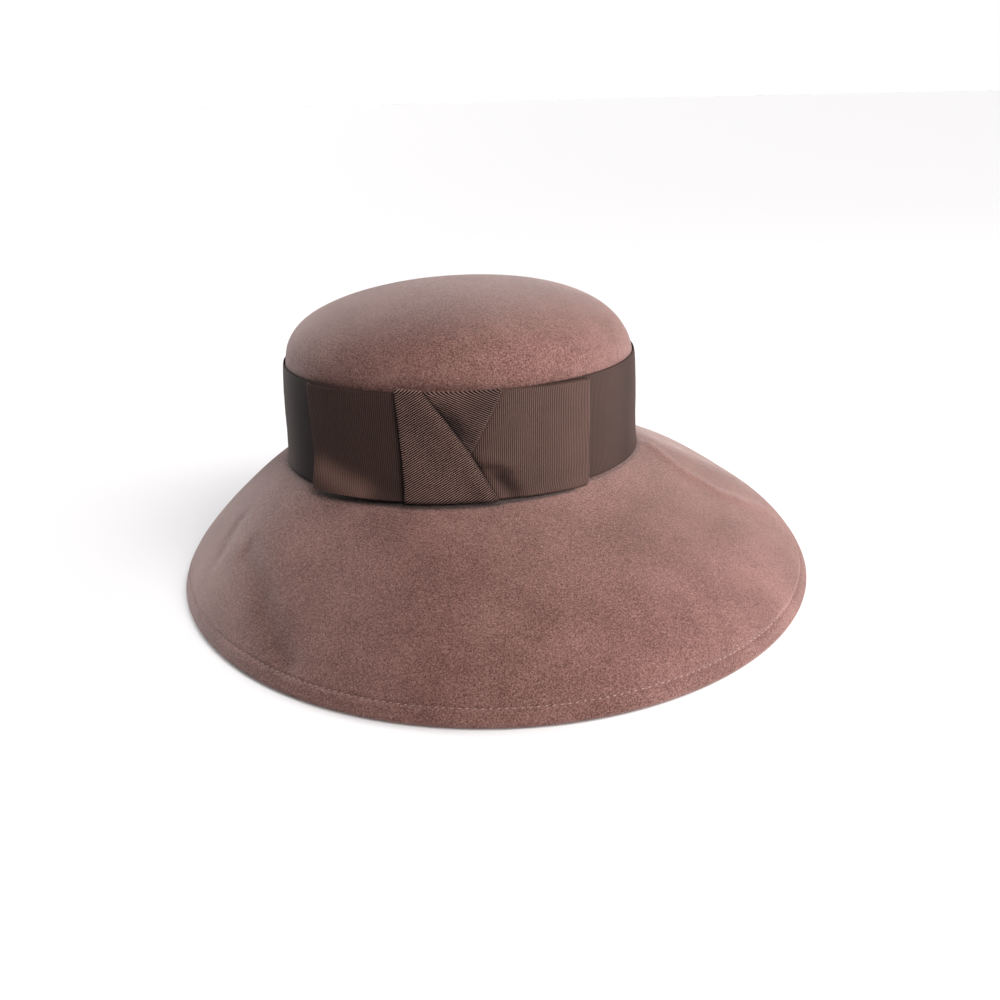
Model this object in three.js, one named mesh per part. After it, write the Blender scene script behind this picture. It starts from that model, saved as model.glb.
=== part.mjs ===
import * as THREE from 'three';

// Felt hat: a rounded oval crown, a wide drooping brim with its edge folded under, a ribbon band
// round the foot of the crown and a flat tailored bow on the wearer's right.
// Millimetres. +X is the wearer's front, +Y the wearer's left, +Z up. The hat rests on its brim
// edge at z = 0, and the origin is the middle of that edge.

// Felt body
const brimLength = 370;
const brimWidth = 379;
const brimDrop = 68.5;
const crownLength = 200.4;
const crownWidth = 168.6;
const crownRise = 95.5;
const crownSetback = 17;
const feltThickness = 2;
const hemWidth = 6.6;
const restStrip = 1.2;

// Ribbon band
const bandWidth = 55.7;
const bandLift = 0.8;
const ribbonThickness = 1;
const seatGap = 0.3;

// Bow, measured along the band from the bow's middle
const bowAzimuth = 260.5;
const bowLength = 150;
const bowWidth = 56.3;
const bowLift = 0.3;
const loopDepth = 1.8;
const loopFlare = 1.5;
const knotWidth = 59;
const knotLift = -0.8;
const knotTopLeft = 26.5;
const knotBottomLeft = 24;
const knotTopRight = 13.5;
const knotBottomRight = 22;
const knotBulge = 2.6;
const foldReach = 25.3;
const foldLength = 31;
const foldTopInset = 0.8;
const foldTuck = 3;
const foldTip = 1;
const knotStep = 6;

// Facets
const around = 72;
const foldFacets = 3;
const loopFacets = 20;
const knotFacets = 8;
const heightFacets = 5;

// Crown sections from the top down to the foot, as shares of crownRise, crownLength and crownWidth
const crownSections = [
  { rise: 1, length: 0, width: 0, forward: 0.02 },
  { rise: 0.996, length: 0.18, width: 0.19, forward: 0.02 },
  { rise: 0.979, length: 0.36, width: 0.368, forward: 0.02 },
  { rise: 0.946, length: 0.54, width: 0.558, forward: 0.015 },
  { rise: 0.893, length: 0.709, width: 0.73, forward: 0.005 },
  { rise: 0.817, length: 0.848, width: 0.866, forward: -0.003 },
  { rise: 0.717, length: 0.938, width: 0.947, forward: -0.004 },
  { rise: 0.592, length: 0.98, width: 0.98, forward: 0 },
  { rise: 0.382, length: 0.996, width: 0.994, forward: 0 },
  { rise: 0.173, length: 1, width: 1, forward: 0 },
  { rise: 0.058, length: 1.006, width: 1.006, forward: 0 },
  { rise: 0, length: 1.017, width: 1.019, forward: 0 },
];

// Brim sections from the crown's foot out to the edge, as shares of the way out and of the way down
const brimSections = [
  { reach: 0, drop: 0 },
  { reach: 0.07, drop: 0.038 },
  { reach: 0.17, drop: 0.115 },
  { reach: 0.32, drop: 0.245 },
  { reach: 0.5, drop: 0.415 },
  { reach: 0.68, drop: 0.59 },
  { reach: 0.83, drop: 0.75 },
  { reach: 0.94, drop: 0.885 },
  { reach: 1, drop: 1 },
];

// Soft waves of the brim: azimuth and spread in degrees, lift as a share of brimDrop, and the share
// of the way out where the wave is highest
const brimWaves = [
  { azimuth: 40, spread: 25, lift: 0.112, peak: 0.74 },
  { azimuth: 14, spread: 10, lift: -0.044, peak: 0.5 },
  { azimuth: -8, spread: 9, lift: 0.044, peak: 0.5 },
  { azimuth: 165, spread: 20, lift: 0.015, peak: 0.5 },
  { azimuth: 205, spread: 14, lift: 0.05, peak: 0.5 },
  { azimuth: 228, spread: 10, lift: -0.03, peak: 0.5 },
  { azimuth: 233, spread: 18, lift: -0.045, peak: 0.88 },
  { azimuth: 302, spread: 30, lift: 0.1, peak: 0.68 },
];

// Half of a bow loop seen from above, from its back end round the fold to its front end: reach as a
// share of half the bow, lift as a share of loopDepth
const loopSections = [
  { reach: 0.06, lift: 0 },
  { reach: 0.28, lift: 0 },
  { reach: 0.5, lift: 0 },
  { reach: 0.72, lift: 0 },
  { reach: 0.94, lift: 0 },
  { reach: 1, lift: 0.5 },
  { reach: 0.95, lift: 1 },
  { reach: 0.72, lift: 1.12 },
  { reach: 0.5, lift: 1.06 },
  { reach: 0.28, lift: 1 },
  { reach: 0.06, lift: 1 },
];

const fullTurn = Math.PI * 2;
const crownFoot = crownSections.length - 1;
const brimEdge = crownFoot + brimSections.length - 1;
const edgeSlope = THREE.MathUtils.degToRad(54);
const restAngle = Math.asin(restStrip / 2 / feltThickness);
const edgeRise = feltThickness * (Math.cos(edgeSlope) + Math.cos(restAngle));
const edgeInset = feltThickness * (1 - Math.sin(edgeSlope));
const bandFoot = brimDrop + bandLift;

// Step for measuring slopes, halvings of a search, and steps for lengths round the band
const probe = 0.01;
const halvings = 40;
const planSteps = 2000;

// Smooth curve through a table's rows, carried on straight past its ends
function tableValue(table, column, place) {
  const last = table.length - 1;
  const row = THREE.MathUtils.clamp(Math.floor(place), 0, last - 1);
  const share = place - row;
  const before = row > 0 ? table[row - 1][column] : 2 * table[0][column] - table[1][column];
  const start = table[row][column];
  const end = table[row + 1][column];
  const after = row + 2 <= last ? table[row + 2][column] : 2 * end - start;
  const startSlope = (end - before) / 2;
  const endSlope = (after - start) / 2;
  const bend = 3 * (end - start) - 2 * startSlope - endSlope;
  const twist = 2 * (start - end) + startSlope + endSlope;
  return start + share * (startSlope + share * (bend + share * twist));
}

// Crown oval at a place along the crown's sections
function crownOval(place) {
  return {
    halfLength: Math.max(tableValue(crownSections, 'length', place), 0) * crownLength / 2,
    halfWidth: Math.max(tableValue(crownSections, 'width', place), 0) * crownWidth / 2,
    middle: tableValue(crownSections, 'forward', place) * crownLength - crownSetback,
    height: brimDrop + tableValue(crownSections, 'rise', place) * crownRise,
  };
}

// Place along the crown's sections where the crown has a given height
function placeAtHeight(height) {
  let above = 1;
  let below = crownFoot;
  for (let step = 0; step < halvings; step += 1) {
    const between = (above + below) / 2;
    if (crownOval(between).height > height) {
      above = between;
    } else {
      below = between;
    }
  }
  return (above + below) / 2;
}

// Height that the waves add to the brim
function waveLift(azimuth, reach) {
  let lift = 0;
  for (const wave of brimWaves) {
    const turned = THREE.MathUtils.radToDeg(azimuth) - wave.azimuth;
    const away = THREE.MathUtils.euclideanModulo(turned + 180, 360) - 180;
    const outward = THREE.MathUtils.clamp(reach, 0, 1) ** (Math.log(0.5) / Math.log(wave.peak));
    lift += wave.lift * Math.exp(-0.5 * (away / wave.spread) ** 2) * Math.sin(Math.PI * outward);
  }
  return lift * brimDrop;
}

// Outer face of the felt: places run down the crown's sections and on through the brim's
function outerPoint(place, azimuth) {
  const oval = crownOval(Math.min(place, crownFoot));
  const point = new THREE.Vector3(
    oval.middle + oval.halfLength * Math.cos(azimuth),
    oval.halfWidth * Math.sin(azimuth),
    oval.height,
  );
  if (place <= crownFoot) {
    return point;
  }
  const reach = tableValue(brimSections, 'reach', place - crownFoot);
  const drop = tableValue(brimSections, 'drop', place - crownFoot);
  const edgeX = (brimLength / 2 - edgeInset) * Math.cos(azimuth);
  const edgeY = (brimWidth / 2 - edgeInset) * Math.sin(azimuth);
  return new THREE.Vector3(
    THREE.MathUtils.lerp(point.x, edgeX, reach),
    THREE.MathUtils.lerp(point.y, edgeY, reach),
    THREE.MathUtils.lerp(point.z, edgeRise, drop) + waveLift(azimuth, reach),
  );
}

// Direction straight out of the felt's outer face
function outerNormal(place, azimuth) {
  if (place <= 0) {
    return new THREE.Vector3(0, 0, 1);
  }
  const down = outerPoint(place + probe, azimuth).sub(outerPoint(place - probe, azimuth));
  const round = outerPoint(place, azimuth + probe).sub(outerPoint(place, azimuth - probe));
  return down.cross(round).normalize();
}

// Point under the outer face by a given depth
function depthPoint(place, azimuth, depth) {
  return outerPoint(place, azimuth).addScaledVector(outerNormal(place, azimuth), -depth);
}

// Place where the hem ends, hemWidth back from the edge
function hemPlace(azimuth) {
  const edge = outerPoint(brimEdge, azimuth);
  let inside = crownFoot + 1;
  let outside = brimEdge;
  for (let step = 0; step < halvings; step += 1) {
    const between = (inside + outside) / 2;
    if (outerPoint(between, azimuth).distanceTo(edge) > hemWidth) {
      inside = between;
    } else {
      outside = between;
    }
  }
  return (inside + outside) / 2;
}

// Round fold of the edge: angles run from the outer face round to the underside of the hem, and
// the lowest two lie flat on the surface that the hat rests on
function foldStations() {
  const stations = [];
  const foldPoint = (azimuth, angleOf, flat) => {
    const normal = outerNormal(brimEdge, azimuth);
    const level = new THREE.Vector3(normal.x, normal.y, 0).normalize();
    const start = Math.atan2(normal.z, Math.hypot(normal.x, normal.y));
    const centre = depthPoint(brimEdge, azimuth, feltThickness);
    const angle = angleOf(start);
    centre.addScaledVector(level, feltThickness * Math.cos(angle));
    centre.z = flat ? 0 : Math.max(centre.z + feltThickness * Math.sin(angle), 0);
    return centre;
  };
  const lowFront = restAngle - Math.PI / 2;
  const lowBack = -restAngle - Math.PI / 2;
  for (let step = 1; step <= foldFacets; step += 1) {
    const share = step / (foldFacets + 1);
    const angleOf = (start) => THREE.MathUtils.lerp(start, lowFront, share);
    stations.push((azimuth) => foldPoint(azimuth, angleOf, false));
  }
  stations.push((azimuth) => foldPoint(azimuth, () => lowFront, true));
  stations.push((azimuth) => foldPoint(azimuth, () => lowBack, true));
  stations.push((azimuth) => foldPoint(azimuth, (start) => start - Math.PI, false));
  return stations;
}

// A turned shell, each vertex moved to where its station says at that azimuth
function turnedBody(stations) {
  const profile = stations.map((station) => {
    const point = station(0);
    return new THREE.Vector2(Math.hypot(point.x, point.y), point.z);
  });
  const geometry = new THREE.LatheGeometry(profile, around);
  const position = geometry.getAttribute('position');
  for (let index = 0; index < position.count; index += 1) {
    const column = Math.floor(index / stations.length) % around;
    const point = stations[index % stations.length](column / around * fullTurn);
    position.setXYZ(index, point.x, point.y, point.z);
  }
  return geometry;
}

// Felt body: down the outer face, round the fold, back under the hem and up the inner face
function feltBody() {
  const stations = [];
  for (let place = 0; place <= brimEdge; place += 1) {
    stations.push((azimuth) => outerPoint(place, azimuth));
  }
  stations.push(...foldStations());
  stations.push((azimuth) => depthPoint(hemPlace(azimuth), azimuth, 2 * feltThickness));
  stations.push((azimuth) => depthPoint(hemPlace(azimuth), azimuth, feltThickness));
  for (let place = brimEdge - 2; place >= 0; place -= 1) {
    stations.push((azimuth) => depthPoint(place, azimuth, feltThickness));
  }
  return turnedBody(stations.reverse());
}

// Half sizes of the wall that a ribbon layer lies on at a height, standing off the felt
function wallOval(height, standoff) {
  const oval = crownOval(placeAtHeight(height));
  return {
    halfLength: oval.halfLength + standoff,
    halfWidth: oval.halfWidth + standoff,
    middle: oval.middle,
  };
}

// Band: a closed ring that follows the crown from its foot up
function bandRing() {
  const inside = [];
  const outside = [];
  const ringStation = (height, standoff) => (azimuth) => {
    const wall = wallOval(height, standoff);
    const x = wall.middle + wall.halfLength * Math.cos(azimuth);
    return new THREE.Vector3(x, wall.halfWidth * Math.sin(azimuth), height);
  };
  for (let step = 0; step <= heightFacets; step += 1) {
    const height = bandFoot + bandWidth * step / heightFacets;
    outside.push(ringStation(height, seatGap + ribbonThickness));
    inside.unshift(ringStation(height, seatGap));
  }
  return turnedBody([...outside, ...inside, outside[0]]);
}

// Azimuth of a distance along the band, counted forward from the bow's middle
const bandPlan = new THREE.EllipseCurve(0, 0, crownLength / 2, crownWidth / 2, 0, fullTurn);
bandPlan.arcLengthDivisions = planSteps;
const bandGirth = bandPlan.getLength();

function shareOfGirth(azimuth) {
  const lengths = bandPlan.getLengths();
  return lengths[Math.round(azimuth / fullTurn * planSteps)] / bandGirth;
}

const bowMiddle = shareOfGirth(THREE.MathUtils.degToRad(bowAzimuth));

// Point at a distance along the band, a height, and a standoff from the band's outer face
function onBand(along, height, standoff) {
  const azimuth = bandPlan.getUtoTmapping(bowMiddle + along / bandGirth) * fullTurn;
  const bandTop = bandFoot + bandWidth;
  const base = seatGap + ribbonThickness;
  const wall = wallOval(THREE.MathUtils.clamp(height, bandFoot, bandTop), base);
  const outwardX = Math.cos(azimuth) / wall.halfLength;
  const outwardY = Math.sin(azimuth) / wall.halfWidth;
  const outward = Math.hypot(outwardX, outwardY);
  return new THREE.Vector3(
    wall.middle + wall.halfLength * Math.cos(azimuth) + standoff * outwardX / outward,
    wall.halfWidth * Math.sin(azimuth) + standoff * outwardY / outward,
    height,
  );
}

// A flat strip of ribbon laid on the band: lay gives its middle layer's place along the band and
// off the band at a share of its length and height, and its thickness goes half to each side
function ribbonStrip(lengthFacets, height, lay) {
  const geometry = new THREE.BoxGeometry(1, 1, 1, lengthFacets, heightFacets, 1);
  geometry.translate(0.5, 0.5, 0);
  const position = geometry.getAttribute('position');
  const spot = new THREE.Vector3();
  for (let index = 0; index < position.count; index += 1) {
    spot.fromBufferAttribute(position, index);
    const here = lay(spot.x, spot.y);
    const ahead = lay(spot.x + probe, spot.y);
    const behind = lay(spot.x - probe, spot.y);
    const run = new THREE.Vector2(ahead.along - behind.along, ahead.off - behind.off).normalize();
    const along = here.along - run.y * spot.z * ribbonThickness;
    const off = here.off + run.x * spot.z * ribbonThickness;
    const point = onBand(along, height(spot.x, spot.y), off);
    position.setXYZ(index, point.x, point.y, point.z);
  }
  return geometry;
}

const backOff = seatGap + ribbonThickness / 2;

// A bow loop, side -1 to the back of the hat and 1 to its front: one strip folded round its end
function bowLoop(side) {
  const lastRow = loopSections.length - 1;
  const lay = (length, height) => {
    const place = (side < 0 ? length : 1 - length) * lastRow;
    const reach = tableValue(loopSections, 'reach', place);
    const lift = tableValue(loopSections, 'lift', place);
    const flare = loopFlare * (1 - height) ** 2 * reach ** 2;
    return {
      along: side * reach * bowLength / 2,
      off: backOff + lift * (loopDepth + flare),
    };
  };
  const height = (length, share) => bandFoot + bowLift + share * bowWidth;
  return ribbonStrip(loopFacets, height, lay);
}

// The knot's slanted right edge, bulging a little past a straight line
function knotRight(height) {
  const share = (height - bandFoot - knotLift) / knotWidth;
  const straight = THREE.MathUtils.lerp(knotBottomRight, -knotTopRight, share);
  return straight + knotBulge * Math.sin(Math.PI * share);
}

const frontOff = backOff + loopDepth * Math.max(...loopSections.map((row) => row.lift));
const foldOff = frontOff + ribbonThickness + seatGap;
const knotRise = ribbonThickness + seatGap;

// Ribbon laid on the slant over the bow: it steps up over the folded corner at its right edge
function bowKnot() {
  const heightAt = (length, share) => bandFoot + knotLift + share * knotWidth;
  const lay = (length, share) => {
    const left = THREE.MathUtils.lerp(-knotBottomLeft, -knotTopLeft, share);
    const right = knotRight(heightAt(length, share));
    const fromEdge = (1 - length) * (right - left);
    const step = 1 - THREE.MathUtils.smoothstep(fromEdge, knotStep, 2 * knotStep);
    return { along: THREE.MathUtils.lerp(left, right, length), off: foldOff + knotRise * step };
  };
  return ribbonStrip(knotFacets, heightAt, lay);
}

// Folded corner of the knot: a triangle whose left side is tucked under the knot's slanted edge
function bowFold() {
  const top = bandFoot + knotLift + knotWidth - foldTopInset;
  const heightAt = (length, share) => top - (1 - share) * foldLength;
  const lay = (length, share) => {
    const height = heightAt(length, share);
    const tip = knotRight(top - foldLength) + foldTip;
    const left = knotRight(height) - foldTuck;
    const right = THREE.MathUtils.lerp(tip, foldReach, share);
    return { along: THREE.MathUtils.lerp(left, right, length), off: foldOff };
  };
  return ribbonStrip(knotFacets, heightAt, lay);
}

const feltLook = { color: 0x7d5a55, roughness: 0.95, metalness: 0 };
const ribbonLook = { color: 0x4a3b35, roughness: 0.7, metalness: 0 };

function addPiece(group, name, geometry, look) {
  const piece = new THREE.Mesh(geometry, new THREE.MeshStandardMaterial(look));
  piece.name = name;
  group.add(piece);
}

const hat = new THREE.Group();
addPiece(hat, 'felt_body', feltBody(), feltLook);
addPiece(hat, 'band', bandRing(), ribbonLook);
addPiece(hat, 'bow_left_loop', bowLoop(-1), ribbonLook);
addPiece(hat, 'bow_right_loop', bowLoop(1), ribbonLook);
addPiece(hat, 'bow_fold', bowFold(), ribbonLook);
addPiece(hat, 'bow_knot', bowKnot(), ribbonLook);

export default hat;
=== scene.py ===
import math
import bpy
import numpy as np
from mathutils import Matrix, Vector


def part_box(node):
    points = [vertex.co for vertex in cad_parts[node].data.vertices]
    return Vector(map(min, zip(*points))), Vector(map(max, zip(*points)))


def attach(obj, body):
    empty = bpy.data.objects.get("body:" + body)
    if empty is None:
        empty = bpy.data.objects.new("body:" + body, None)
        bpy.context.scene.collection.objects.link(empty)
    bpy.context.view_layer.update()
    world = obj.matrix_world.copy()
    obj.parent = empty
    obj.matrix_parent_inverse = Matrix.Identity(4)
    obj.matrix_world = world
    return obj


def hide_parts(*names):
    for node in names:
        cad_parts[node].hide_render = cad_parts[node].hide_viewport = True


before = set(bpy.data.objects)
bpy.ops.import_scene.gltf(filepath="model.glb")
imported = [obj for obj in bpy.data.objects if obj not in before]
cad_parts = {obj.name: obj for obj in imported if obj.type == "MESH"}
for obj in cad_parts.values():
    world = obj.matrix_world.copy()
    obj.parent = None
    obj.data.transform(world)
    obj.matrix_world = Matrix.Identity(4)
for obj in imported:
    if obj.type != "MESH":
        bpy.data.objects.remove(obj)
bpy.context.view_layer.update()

# Everything is in metres, in the frame's own axes: +X is the hat's front, +Z is up
feltLow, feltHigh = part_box("felt_body")
bandLow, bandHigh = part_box("band")
mm = 0.001

hat = {
    "brimLength": feltHigh.x - feltLow.x,
    "brimWidth": feltHigh.y - feltLow.y,
    "height": feltHigh.z,
    "brimDrop": 0.0685,
    "crownLength": 0.2004,
    "crownWidth": 0.1686,
    "crownSetback": 0.017,
    "thickness": 0.002,
    "hemWidth": 0.0066,
    "restStrip": 0.0012,
    "edgeSlope": math.radians(54),
}
hat["crownRise"] = hat["height"] - hat["brimDrop"]

# Sections as shares of the sizes above: the crown's from its top down, the brim's from the crown out
crownTable = {
    "rise": [1, 0.996, 0.979, 0.946, 0.893, 0.817, 0.717, 0.592, 0.382, 0.173, 0.058, 0],
    "length": [0, 0.18, 0.36, 0.54, 0.709, 0.848, 0.938, 0.98, 0.996, 1, 1.006, 1.017],
    "width": [0, 0.19, 0.368, 0.558, 0.73, 0.866, 0.947, 0.98, 0.994, 1, 1.006, 1.019],
    "forward": [0.02, 0.02, 0.02, 0.015, 0.005, -0.003, -0.004, 0, 0, 0, 0, 0],
}
brimTable = {
    "reach": [0, 0.07, 0.17, 0.32, 0.5, 0.68, 0.83, 0.94, 1],
    "drop": [0, 0.038, 0.115, 0.245, 0.415, 0.59, 0.75, 0.885, 1],
}
# Waves of the brim: azimuth and spread in degrees, lift as a share of brimDrop, where it is highest
brimWaves = [
    {"azimuth": 40, "spread": 25, "lift": 0.112, "peak": 0.74},
    {"azimuth": 14, "spread": 10, "lift": -0.044, "peak": 0.5},
    {"azimuth": -8, "spread": 9, "lift": 0.044, "peak": 0.5},
    {"azimuth": 165, "spread": 20, "lift": 0.015, "peak": 0.5},
    {"azimuth": 205, "spread": 14, "lift": 0.05, "peak": 0.5},
    {"azimuth": 228, "spread": 10, "lift": -0.03, "peak": 0.5},
    {"azimuth": 233, "spread": 18, "lift": -0.045, "peak": 0.88},
    {"azimuth": 302, "spread": 30, "lift": 0.1, "peak": 0.68},
]
# Soft creases and one ridge of the brim: the path seen from above, width and lift are in mm, and shade is
# painted shade that darkens the felt along a crease, or a painted highlight where it is below nought, as on
# the ridge
brimCreases = [
    {"path": [(-141, -62), (-137, -74), (-133, -87), (-130, -104), (-125, -119), (-120, -131)],
     "width": 5, "lift": -1.9, "shade": 0.17},
    {"path": [(-148, -30), (-153, -35), (-157, -42)], "width": 5, "lift": -1.4, "shade": 0.2},
    {"path": [(90, -22), (102, -42), (123, -53), (139, -52), (158, -45)],
     "width": 4.5, "lift": 1.4, "shade": -0.12},
]
crownFoot = len(crownTable["rise"]) - 1
brimEdge = crownFoot + len(brimTable["reach"]) - 1
fullTurn = 2 * math.pi


def alongTable(values, place):
    # smooth curve through a column's values, carried on straight past its ends
    column = np.array([2 * values[0] - values[1], *values, 2 * values[-1] - values[-2]], float)
    row = np.clip(np.floor(place), 0, len(values) - 2).astype(int)
    share = place - row
    before, start, end, after = (column[row + k] for k in range(4))
    startSlope, endSlope = (end - before) / 2, (after - start) / 2
    bend = 3 * (end - start) - 2 * startSlope - endSlope
    twist = 2 * (start - end) + startSlope + endSlope
    return start + share * (startSlope + share * (bend + share * twist))


def crownOval(place):
    halfLength = np.maximum(alongTable(crownTable["length"], place), 0) * hat["crownLength"] / 2
    halfWidth = np.maximum(alongTable(crownTable["width"], place), 0) * hat["crownWidth"] / 2
    middle = alongTable(crownTable["forward"], place) * hat["crownLength"] - hat["crownSetback"]
    height = hat["brimDrop"] + alongTable(crownTable["rise"], place) * hat["crownRise"]
    return halfLength, halfWidth, middle, height


def waveLift(azimuth, reach):
    lift = 0
    for wave in brimWaves:
        away = (np.degrees(azimuth) - wave["azimuth"] + 180) % 360 - 180
        outward = np.clip(reach, 0, 1) ** (math.log(0.5) / math.log(wave["peak"]))
        lift = lift + wave["lift"] * np.exp(-0.5 * (away / wave["spread"]) ** 2) * np.sin(np.pi * outward)
    return lift * hat["brimDrop"]


def pathDistance(right, up, path):
    # distance from each place to the nearest point of a path given in mm
    spots = np.array(path, float) * mm
    nearest = np.full(right.shape, 1.0)
    for start, end in zip(spots[:-1], spots[1:]):
        step = end - start
        share = np.clip(((right - start[0]) * step[0] + (up - start[1]) * step[1]) / (step @ step), 0, 1)
        away = np.hypot(right - start[0] - share * step[0], up - start[1] - share * step[1])
        nearest = np.minimum(nearest, away)
    return nearest


def creaseLift(x, y, reach):
    # fades out towards the brim's edge and the crown's foot
    lift = 0
    for crease in brimCreases:
        away = pathDistance(x, y, crease["path"]) / (crease["width"] * mm)
        lift = lift + crease["lift"] * mm * np.exp(-away ** 2)
    fadeOut = np.clip((1 - reach) / 0.1, 0, 1)
    fadeIn = np.clip(reach / 0.05, 0, 1)
    return lift * fadeOut * fadeIn


def feltPoint(place, azimuth):
    place, azimuth = np.broadcast_arrays(np.asarray(place, float), np.asarray(azimuth, float))
    halfLength, halfWidth, middle, height = crownOval(np.minimum(place, crownFoot))
    x = middle + halfLength * np.cos(azimuth)
    y = halfWidth * np.sin(azimuth)
    row = np.maximum(place - crownFoot, 0)
    reach = np.where(row > 0, alongTable(brimTable["reach"], row), 0)
    drop = np.where(row > 0, alongTable(brimTable["drop"], row), 0)
    inset = hat["thickness"] * (1 - math.sin(hat["edgeSlope"]))
    restAngle = math.asin(hat["restStrip"] / 2 / hat["thickness"])
    edgeRise = hat["thickness"] * (math.cos(hat["edgeSlope"]) + math.cos(restAngle))
    x = x + ((hat["brimLength"] / 2 - inset) * np.cos(azimuth) - x) * reach
    y = y + ((hat["brimWidth"] / 2 - inset) * np.sin(azimuth) - y) * reach
    z = height + (edgeRise - height) * drop + waveLift(azimuth, reach) + creaseLift(x, y, reach)
    return np.stack([x, y, z], -1)


def feltNormal(place, azimuth):
    step = 0.01
    down = feltPoint(np.asarray(place) + step, azimuth) - feltPoint(np.asarray(place) - step, azimuth)
    around = feltPoint(place, np.asarray(azimuth) + step) - feltPoint(place, np.asarray(azimuth) - step)
    normal = np.cross(down, around)
    return normal / np.maximum(np.linalg.norm(normal, axis=-1, keepdims=True), 1e-12)


def newObject(name, points, faces, cornerUv=None):
    mesh = bpy.data.meshes.new(name)
    mesh.from_pydata(np.asarray(points).tolist(), [], faces)
    if cornerUv is not None:
        layer = mesh.uv_layers.new(name="ribbon")
        layer.data.foreach_set("uv", np.asarray(cornerUv, np.float32).ravel())
    mesh.polygons.foreach_set("use_smooth", [True] * len(mesh.polygons))
    mesh.validate()
    mesh.update()
    piece = bpy.data.objects.new(name, mesh)
    bpy.context.collection.objects.link(piece)
    return piece


# Nodes are added with one short call each
def addNode(tree, kind, inputs=(), **settings):
    node = tree.nodes.new(kind)
    for key, value in settings.items():
        setattr(node, key, value)
    for socket, value in dict(inputs).items():
        if isinstance(value, bpy.types.NodeSocket):
            tree.links.new(value, node.inputs[socket])
        else:
            node.inputs[socket].default_value = value
    return node


def newMaterial(name):
    material = bpy.data.materials.new(name)
    material.use_nodes = True
    tree = material.node_tree
    return material, tree, tree.nodes["Principled BSDF"]


def rampNode(tree, factor, stops):
    ramp = addNode(tree, "ShaderNodeValToRGB", {"Fac": factor})
    while len(ramp.color_ramp.elements) < len(stops):
        ramp.color_ramp.elements.new(0.5)
    for element, (position, colour) in zip(ramp.color_ramp.elements, stops):
        element.position = position
        element.color = (*colour, 1)
    return ramp.outputs["Color"]


# Felt look: mottled rose brown with a fine fibrous grain and a soft bloom at grazing angles
feltLook = {
    "dark": (0.052, 0.021, 0.018),
    "middle": (0.204, 0.098, 0.082),
    "light": (0.40, 0.23, 0.202),
    "grainScale": 1250,
    "fibreScale": 2300,
    "cloudScale": 28,
    "cloudShare": 0.34,
    "bumpDepth": 0.0003,
    "sheen": 0.6,
}


def feltMaterial():
    material, tree, shader = newMaterial("rose_felt")
    place = addNode(tree, "ShaderNodeTexCoord").outputs["Object"]
    grain = addNode(tree, "ShaderNodeTexNoise", {
        "Vector": place, "Scale": feltLook["grainScale"], "Detail": 3.0, "Roughness": 0.62})
    fibre = addNode(tree, "ShaderNodeTexNoise", {
        "Vector": place, "Scale": feltLook["fibreScale"], "Detail": 2.0, "Distortion": 1.6})
    cloud = addNode(tree, "ShaderNodeTexNoise", {
        "Vector": place, "Scale": feltLook["cloudScale"], "Detail": 4.0, "Roughness": 0.6})
    mixed = addNode(tree, "ShaderNodeMath", {
        0: grain.outputs["Fac"], 1: fibre.outputs["Fac"]}, operation="ADD")
    shifted = addNode(tree, "ShaderNodeMath", {
        0: cloud.outputs["Fac"], 1: feltLook["cloudShare"], 2: mixed.outputs[0]}, operation="MULTIPLY_ADD")
    evened = addNode(tree, "ShaderNodeMath", {
        0: shifted.outputs[0], 1: 1 / (2 + feltLook["cloudShare"])}, operation="MULTIPLY")
    colour = rampNode(tree, evened.outputs[0], [
        (0.38, feltLook["dark"]), (0.5, feltLook["middle"]), (0.62, feltLook["light"])])
    # painted shade and painted shadow from the shade attribute scale the felt's colour
    shade = addNode(tree, "ShaderNodeAttribute", attribute_name="shade").outputs["Fac"]
    shaded = addNode(tree, "ShaderNodeVectorMath", {0: colour, "Scale": shade}, operation="SCALE")
    tree.links.new(shaded.outputs[0], shader.inputs["Base Color"])
    bump = addNode(tree, "ShaderNodeBump", {
        "Height": mixed.outputs[0], "Strength": 1.0, "Distance": feltLook["bumpDepth"]})
    tree.links.new(bump.outputs["Normal"], shader.inputs["Normal"])
    shader.inputs["Roughness"].default_value = 0.95
    shader.inputs["Specular IOR Level"].default_value = 0.15
    shader.inputs["Sheen Weight"].default_value = feltLook["sheen"]
    shader.inputs["Sheen Roughness"].default_value = 0.4
    shader.inputs["Sheen Tint"].default_value = (1.0, 0.93, 0.91, 1)
    return material


# Ribbon look: cross ribs in the ribbon's own UV map, one rib for each unit of U; each weave's valley colour
# is painted shade in the rib valleys, and the shade attribute adds painted shade in its creases and painted
# highlights
ribbonLook = {
    "straight": {
        "valley": (0.019, 0.0102, 0.0082), "ridge": (0.132, 0.074, 0.059),
        "from": 0.4, "to": 1.2,
    },
    # darker, lower-contrast copy of the same ribbon: painted shade for the band and the left loop
    "smooth": {
        "valley": (0.023, 0.0122, 0.0094), "ridge": (0.066, 0.0365, 0.029),
        "from": 0.4, "to": 1.2,
    },
    # near-black valleys and bright ridges: painted shade and painted highlight on the knot's and fold's
    # slanted ribs
    "slant": {
        "valley": (0.0006, 0.0004, 0.0003), "ridge": (0.31, 0.184, 0.153),
        "from": 0.87, "to": 1.27,
    },
    "toneScale": 60,
    "threadScale": 2600,
    "warpScale": 190,
    "toneShare": 0.3,
    "threadShare": 0.35,
    "bumpDepth": 0.00006,
}


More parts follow.
